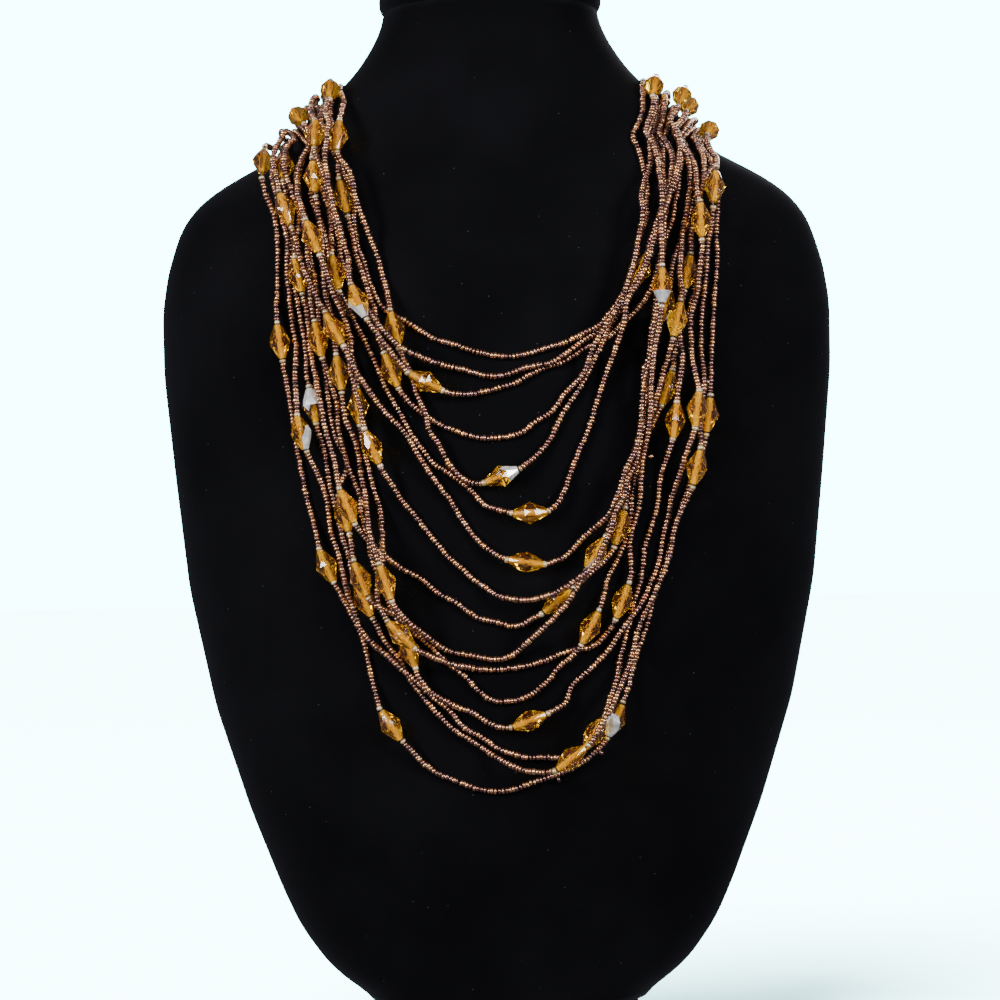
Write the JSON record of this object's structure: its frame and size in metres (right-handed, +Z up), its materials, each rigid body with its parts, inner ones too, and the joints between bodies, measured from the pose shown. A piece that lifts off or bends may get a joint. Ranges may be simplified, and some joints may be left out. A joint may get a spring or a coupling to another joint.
{
  "type": "multi strand bead necklace on a neck bust",
  "caption": "Necklace of many fine seed bead strings set with faceted amber glass beads, draped over a black velvet neck bust on a flat foot.",
  "frame": {"origin": "centre of the foot's underside", "axes": "+Z up, the chest faces -Y, +X towards the wearer's left shoulder"},
  "size_m": [0.235, 0.1042, 0.375],
  "materials": {
    "velvet": "matt black cotton velvet",
    "seed_beads": "opaque plum-bronze metallic coat, glossy",
    "amber_glass": "transparent, cut and polished",
    "clasp_metal": "antiqued, satin"
  },
  "bodies": {
    "root": {"bust": "velvet", "neck_rim": "velvet", "foot": "velvet", "clasp": "clasp_metal", "string_01": "seed_beads", "string_02": "seed_beads", "string_03": "seed_beads", "string_04": "seed_beads", "string_05": "seed_beads", "string_06": "seed_beads", "string_07": "seed_beads", "string_08": "seed_beads", "string_09": "seed_beads", "string_10": "seed_beads", "string_11": "seed_beads", "string_12": "seed_beads", "string_13": "seed_beads", "string_14": "seed_beads", "string_15": "seed_beads", "string_16": "seed_beads", "amber_bead_01": "amber_glass", "amber_bead_02": "amber_glass", "amber_bead_03": "amber_glass", "amber_bead_04": "amber_glass", "amber_bead_05": "amber_glass", "amber_bead_06": "amber_glass", "amber_bead_07": "amber_glass", "amber_bead_08": "amber_glass", "amber_bead_09": "amber_glass", "amber_bead_10": "amber_glass", "amber_bead_11": "amber_glass", "amber_bead_12": "amber_glass", "amber_bead_13": "amber_glass", "amber_bead_14": "amber_glass", "amber_bead_15": "amber_glass", "amber_bead_16": "amber_glass", "amber_bead_17": "amber_glass", "amber_bead_18": "amber_glass", "amber_bead_19": "amber_glass", "amber_bead_20": "amber_glass", "amber_bead_21": "amber_glass", "amber_bead_22": "amber_glass", "amber_bead_23": "amber_glass", "amber_bead_24": "amber_glass", "amber_bead_25": "amber_glass", "amber_bead_26": "amber_glass", "amber_bead_27": "amber_glass", "amber_bead_28": "amber_glass", "amber_bead_29": "amber_glass", "amber_bead_30": "amber_glass", "amber_bead_31": "amber_glass", "amber_bead_32": "amber_glass", "amber_bead_33": "amber_glass", "amber_bead_34": "amber_glass", "amber_bead_35": "amber_glass", "amber_bead_36": "amber_glass", "amber_bead_37": "amber_glass", "amber_bead_38": "amber_glass", "upper_amber_beads": "amber_glass"}
  },
  "joints": []
}
